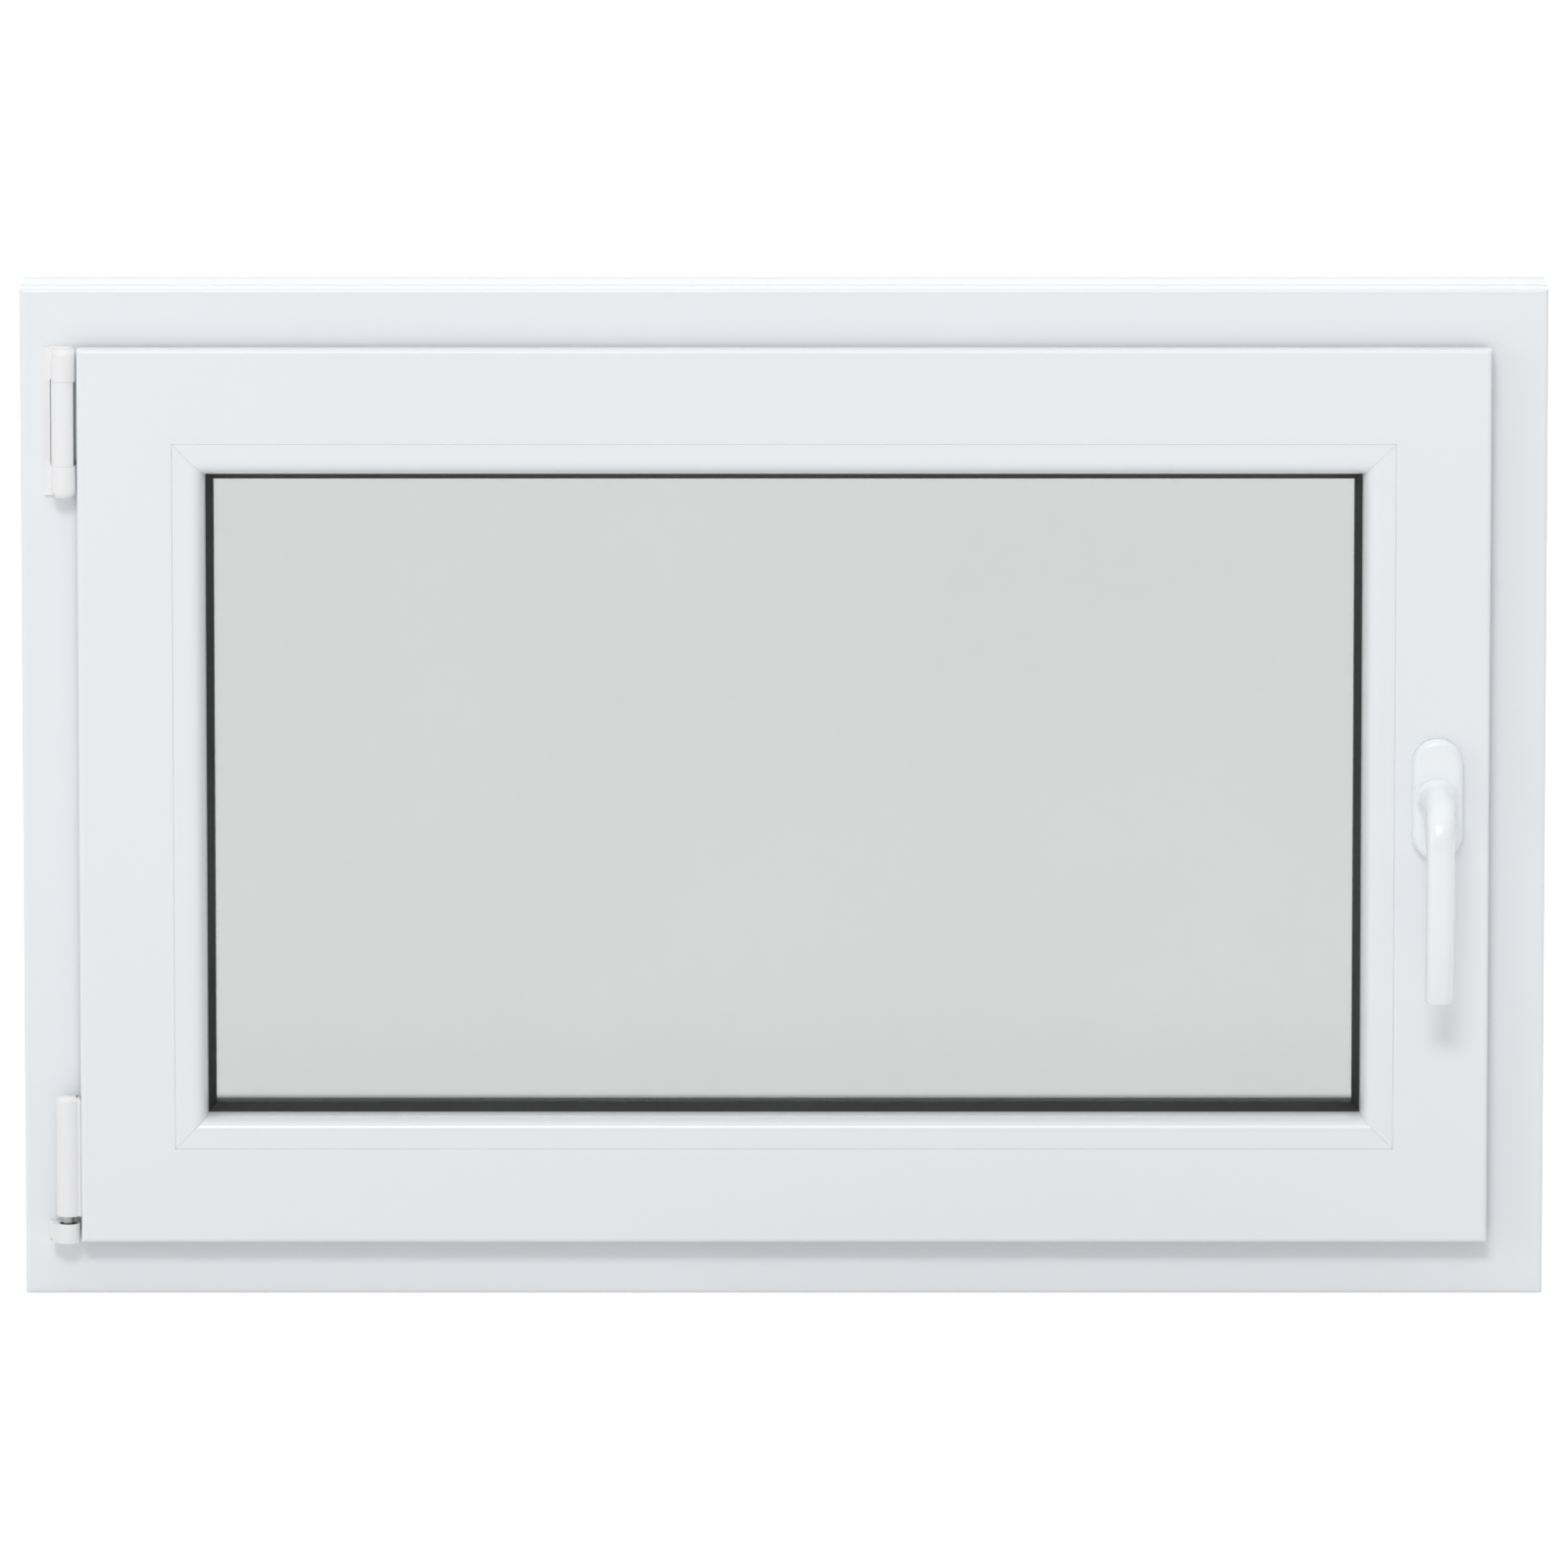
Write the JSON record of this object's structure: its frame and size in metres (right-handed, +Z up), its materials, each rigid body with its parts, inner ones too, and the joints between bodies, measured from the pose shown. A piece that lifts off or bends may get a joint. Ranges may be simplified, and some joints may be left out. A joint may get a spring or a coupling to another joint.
{
  "type": "casement window",
  "caption": "White plastic tilt-and-turn casement window with double glazing, side-hung sash, rounded glazing beads, hidden locking gear and a lever handle.",
  "frame": {"origin": "middle of the outer frame's underside, at half the frame's depth", "axes": "+X to the right seen from the room (from hinges to handle), +Y to the weather side, +Z up"},
  "size_m": [0.9, 0.1543, 0.6],
  "materials": {
    "white_upvc": "white extruded uPVC, satin gloss",
    "white_cover": "white moulded plastic covers",
    "handle_enamel": "white powder-coated die-cast zinc",
    "black_seal": "matt black extruded rubber",
    "clear_glass": "clear float glass, faint grey-green",
    "zinc_steel": "zinc-plated steel and die-cast zinc",
    "spacer_aluminium": "mill-finish aluminium",
    "butyl_seal": "dark sealant",
    "block_plastic": "green moulded plastic"
  },
  "bodies": {
    "frame": {"frame_head": "white_upvc", "frame_sill": "white_upvc", "frame_hinge_jamb": "white_upvc", "frame_lock_jamb": "white_upvc", "frame_head_steel": "zinc_steel", "frame_sill_steel": "zinc_steel", "frame_gasket": "black_seal", "stay_bearing": "zinc_steel", "stay_bearing_cap": "white_cover", "stay_pin": "zinc_steel", "corner_bearing": "zinc_steel", "corner_bearing_cap": "white_cover", "lock_keep_upper": "zinc_steel", "lock_keep_lower": "zinc_steel", "head_keep": "zinc_steel", "tilt_keep": "zinc_steel", "drain_cap_left": "white_cover", "drain_cap_right": "white_cover"},
    "hinge_band": {"pivot_socket": "zinc_steel"},
    "sash": {"bead_bottom": "white_upvc", "bead_left": "white_upvc", "bead_right": "white_upvc", "bead_top": "white_upvc", "bottom_faceplate": "zinc_steel", "corner_band": "zinc_steel", "corner_band_cap": "white_cover", "edge_seal": "butyl_seal", "gearbox": "zinc_steel", "handle_base": "zinc_steel", "handle_rosette": "handle_enamel", "handle_screw_lower": "zinc_steel", "handle_screw_upper": "zinc_steel", "inner_glazing_gasket": "black_seal", "inner_pane": "clear_glass", "lock_faceplate": "zinc_steel", "outer_glazing_gasket": "black_seal", "outer_pane": "clear_glass", "sash_bottom_rail": "white_upvc", "sash_bottom_steel": "zinc_steel", "sash_gasket": "black_seal", "sash_hinge_stile": "white_upvc", "sash_lock_stile": "white_upvc", "sash_top_rail": "white_upvc", "sash_top_steel": "zinc_steel", "setting_block_left": "block_plastic", "setting_block_right": "block_plastic", "spacer_bar": "spacer_aluminium", "top_faceplate": "zinc_steel"},
    "stay_arm": {"stay_arm": "zinc_steel", "stay_stud": "zinc_steel"},
    "handle": {"handle_grip": "handle_enamel", "handle_spindle": "zinc_steel", "gear_pinion": "zinc_steel"},
    "lock_rod": {"drive_rod": "zinc_steel", "lock_cam_upper": "zinc_steel", "lock_cam_lower": "zinc_steel"},
    "top_rod": {"top_rod": "zinc_steel", "top_cam": "zinc_steel"},
    "bottom_rod": {"bottom_rod": "zinc_steel", "bottom_cam": "zinc_steel"}
  },
  "joints": [
    {"name": "sash_turn", "type": "hinge", "parent": "frame", "child": "hinge_band", "pos_m": [-0.424, -0.047, 0.0385], "axis": [0, 0, -1], "range_deg": [0, 90]},
    {"name": "sash_tilt", "type": "hinge", "parent": "hinge_band", "child": "sash", "pos_m": [-0.424, -0.047, 0.0385], "axis": [1, 0, 0], "range_deg": [0, 9]},
    {"name": "stay_swing", "type": "hinge", "parent": "hinge_band", "child": "stay_arm", "pos_m": [-0.424, -0.047, 0.5215], "axis": [0, 0, -1], "range_deg": [0, 17.1]},
    {"name": "handle_turn", "type": "hinge", "parent": "sash", "child": "handle", "pos_m": [0.385, -0.055, 0.3], "axis": [0, 1, 0], "range_deg": [0, 180]},
    {"name": "lock_rod_slide", "type": "slide", "parent": "sash", "child": "lock_rod", "axis": [0, 0, -1], "range_m": [0, 0.02263]},
    {"name": "top_rod_slide", "type": "slide", "parent": "sash", "child": "top_rod", "axis": [1, 0, 0], "range_m": [0, 0.02263]},
    {"name": "bottom_rod_slide", "type": "slide", "parent": "sash", "child": "bottom_rod", "axis": [-1, 0, 0], "range_m": [0, 0.02263]}
  ],
  "couplings": [
    {"joint": "stay_swing", "follows": "sash_tilt", "ratio": 1.89},
    {"joint": "lock_rod_slide", "follows": "handle_turn", "m_per_rad": 0.0072},
    {"joint": "top_rod_slide", "follows": "handle_turn", "m_per_rad": 0.0072},
    {"joint": "bottom_rod_slide", "follows": "handle_turn", "m_per_rad": 0.0072}
  ]
}
